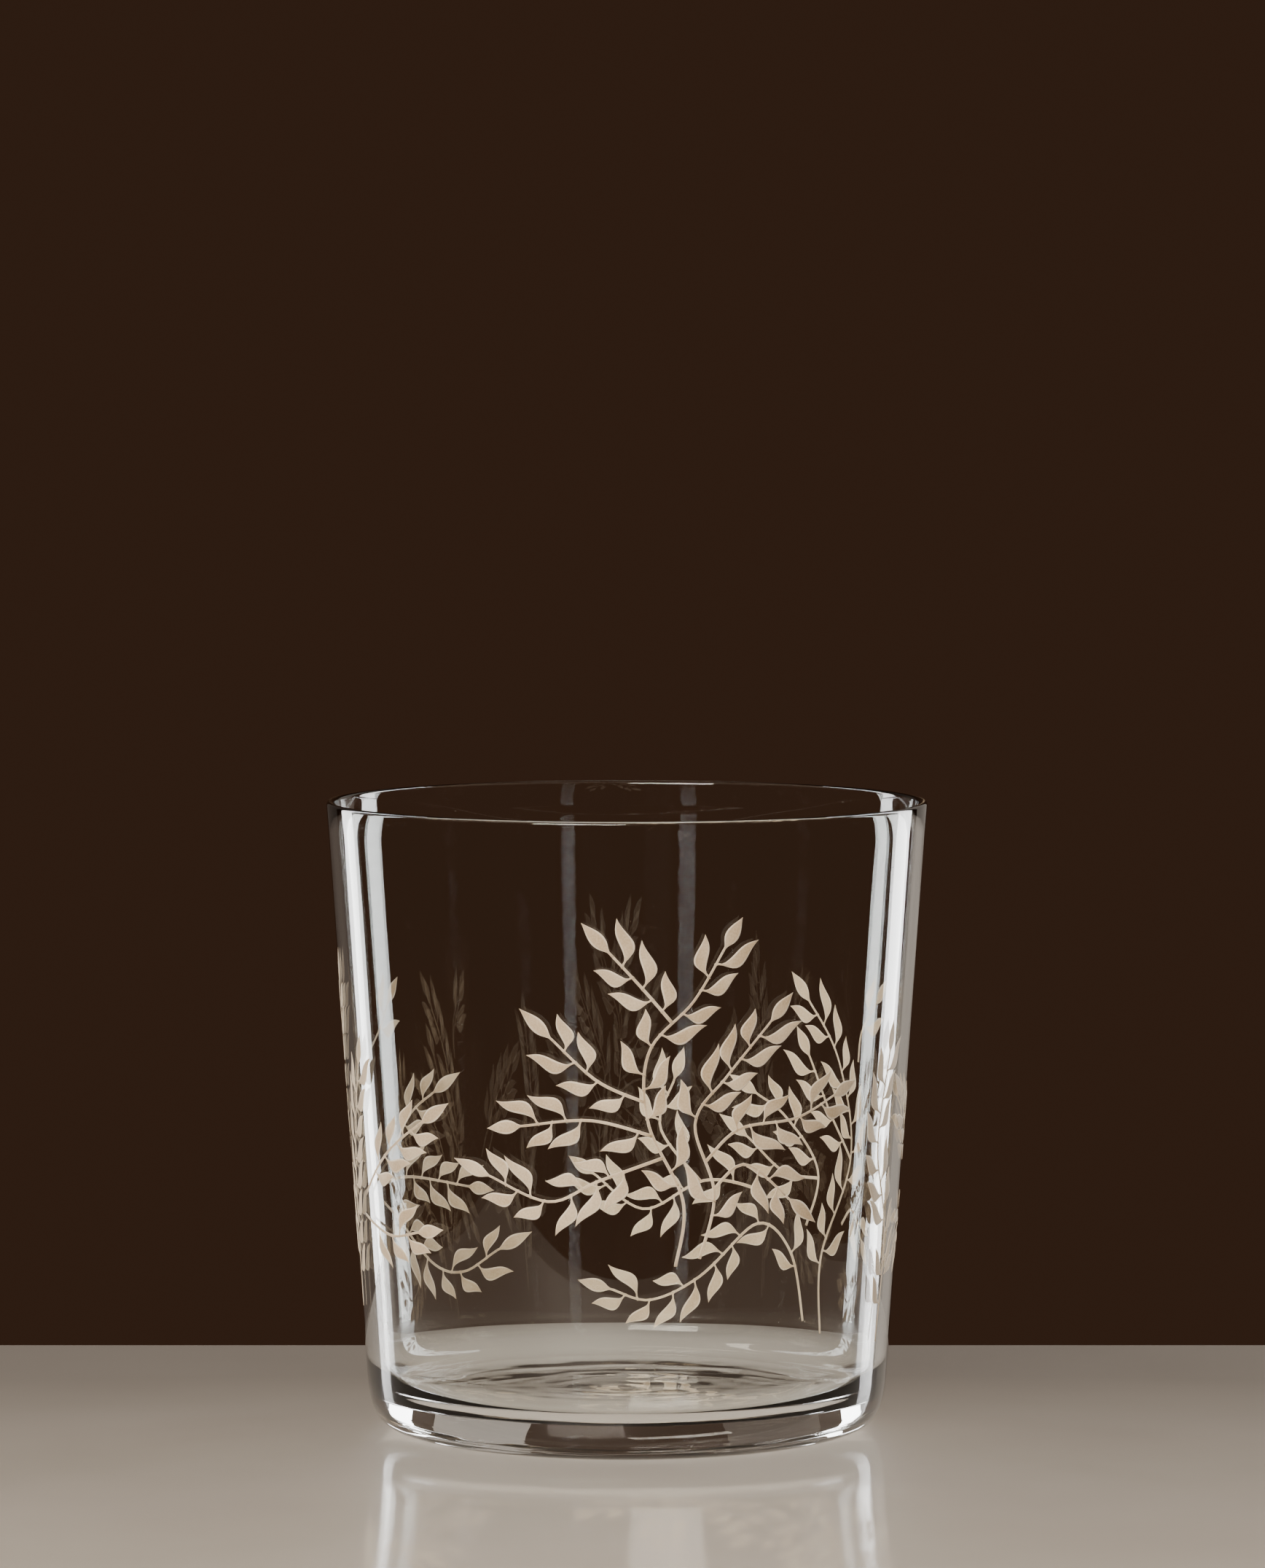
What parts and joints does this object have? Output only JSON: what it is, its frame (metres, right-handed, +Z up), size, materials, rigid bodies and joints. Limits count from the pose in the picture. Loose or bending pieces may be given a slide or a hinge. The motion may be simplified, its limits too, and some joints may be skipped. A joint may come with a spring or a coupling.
{
  "type": "tapered drinking glass",
  "caption": "Clear thin-walled tapered tumbler with a rounded thick base and matte leafy sprays printed round the outside of its wall.",
  "frame": {"origin": "middle of the flat underside, on the surface that the glass stands on", "axes": "+Z up along the glass's axis towards the rim; the two tall leaf sprays face -Y; +X to their right"},
  "size_m": [0.086, 0.086, 0.09],
  "materials": {
    "clear_glass": "clear, smooth, fire-polished rim",
    "fired_enamel": "matte warm beige fired enamel"
  },
  "bodies": {
    "root": {"glass_body": "clear_glass", "front_tall_spray": "fired_enamel", "front_short_spray": "fired_enamel", "left_upper_spray": "fired_enamel", "left_lower_spray": "fired_enamel", "left_edge_spray": "fired_enamel", "left_tall_spray": "fired_enamel", "right_tall_spray": "fired_enamel", "right_upper_spray": "fired_enamel", "right_lower_spray": "fired_enamel", "back_edge_spray": "fired_enamel", "back_low_edge_spray": "fired_enamel", "back_right_spray": "fired_enamel", "back_middle_spray": "fired_enamel", "back_swoop_spray": "fired_enamel", "back_centre_spray": "fired_enamel", "back_left_swoop_spray": "fired_enamel", "back_left_middle_spray": "fired_enamel", "back_left_upper_spray": "fired_enamel", "back_left_top_spray": "fired_enamel"}
  },
  "joints": []
}
